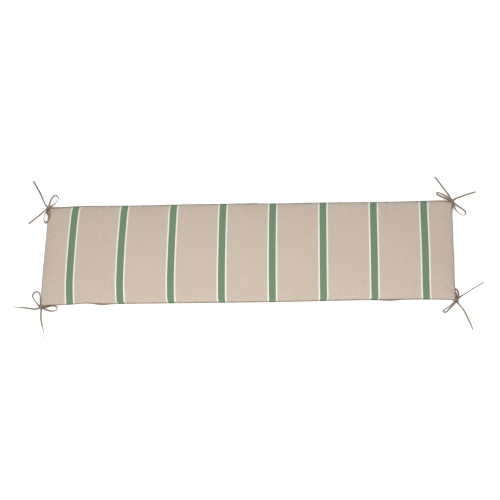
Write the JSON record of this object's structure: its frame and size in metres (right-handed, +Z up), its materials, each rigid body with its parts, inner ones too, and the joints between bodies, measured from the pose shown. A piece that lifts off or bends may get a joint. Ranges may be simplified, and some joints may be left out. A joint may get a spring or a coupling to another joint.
{
  "type": "bench cushion",
  "caption": "Long striped bench cushion with a crowned filled body, a seam round its edge and narrow fabric ties in bows at its corners.",
  "frame": {"origin": "middle of the flat face that the cushion rests on, on the surface under it", "axes": "+X along the length of the bench, +Y from the front edge to the back edge, +Z up through the thickness"},
  "size_m": [1.7048, 0.6251, 0.0658],
  "materials": {
    "cover_fabric": "matt plain-woven canvas, sand with green and white stripes",
    "tie_tape": "matt folded and stitched tape"
  },
  "bodies": {
    "root": {"cushion": "cover_fabric", "tie_back_left": "tie_tape", "tie_front_left": "tie_tape", "tie_back_right": "tie_tape", "tie_front_right": "tie_tape"}
  },
  "joints": []
}
